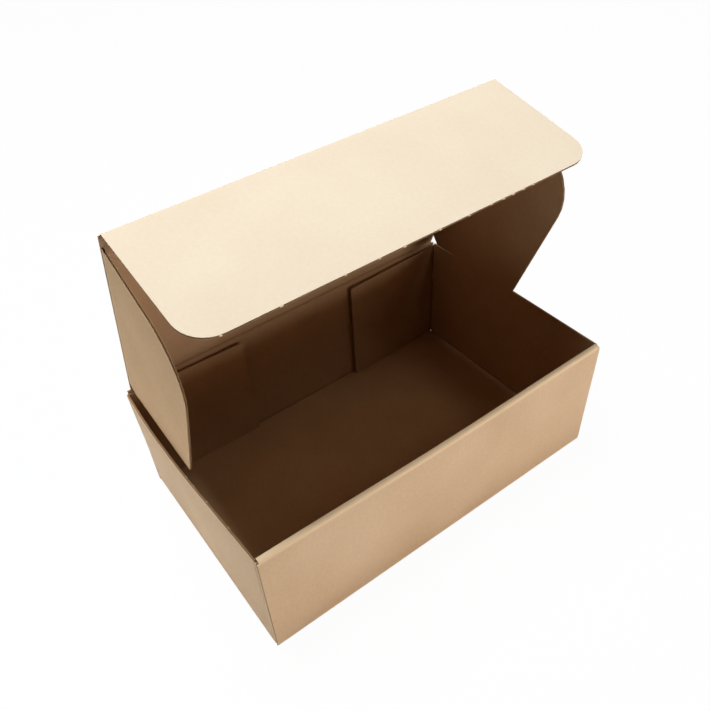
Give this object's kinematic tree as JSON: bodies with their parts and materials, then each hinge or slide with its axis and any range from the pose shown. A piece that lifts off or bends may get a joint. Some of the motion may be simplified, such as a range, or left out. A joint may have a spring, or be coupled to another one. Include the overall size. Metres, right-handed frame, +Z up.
{
  "type": "mailer box",
  "caption": "Plain kraft corrugated mailer box, folded from one sheet, open lid with tuck flap and side ears.",
  "frame": {"origin": "centre of the tray's underside, on the table", "axes": "+X along the front to the right as the front faces you, +Y from the front to the back wall that carries the lid, +Z up"},
  "size_m": [0.25, 0.156, 0.2229],
  "materials": {
    "kraft_board": "matt brown kraft liner",
    "kraft_lid": "matt brown kraft liner, the lid and what hangs on it"
  },
  "bodies": {
    "box_tray": {"tray": "kraft_board"},
    "lid": {"lid_panel": "kraft_lid"},
    "tuck": {"tuck_flap": "kraft_lid"},
    "left_ear": {"ear_left": "kraft_lid"},
    "right_ear": {"ear_right": "kraft_lid"},
    "left_back_flap": {"back_flap_left": "kraft_board"},
    "right_back_flap": {"back_flap_right": "kraft_board"}
  },
  "joints": [
    {"name": "lid_swing", "type": "hinge", "parent": "box_tray", "child": "lid", "pos_m": [0, 0.0774, 0.0879], "axis": [-1, 0, 0], "range_deg": [-69, 111]},
    {"name": "tuck_fold", "type": "hinge", "parent": "lid", "child": "tuck", "pos_m": [0, 0.02579, 0.22234], "axis": [-1, 0, 0], "range_deg": [-36, 82]},
    {"name": "left_ear_fold", "type": "hinge", "parent": "lid", "child": "left_ear", "pos_m": [-0.122, 0.0774, 0.0879], "axis": [0, 0.3584, -0.9336], "range_deg": [-0.6, 89.4]},
    {"name": "right_ear_fold", "type": "hinge", "parent": "lid", "child": "right_ear", "pos_m": [0.122, 0.0774, 0.0879], "axis": [0, -0.3584, 0.9336], "range_deg": [-0.6, 89.4]},
    {"name": "left_back_flap_swing", "type": "hinge", "parent": "box_tray", "child": "left_back_flap", "pos_m": [-0.1238, 0.0753, 0], "axis": [0, 0, -1], "range_deg": [-1.5, 78.5]},
    {"name": "right_back_flap_swing", "type": "hinge", "parent": "box_tray", "child": "right_back_flap", "pos_m": [0.1238, 0.0753, 0], "axis": [0, 0, 1], "range_deg": [-1.5, 78.5]}
  ],
  "couplings": [
    {"joint": "tuck_fold", "follows": "lid_swing", "ratio": 0.52}
  ]
}
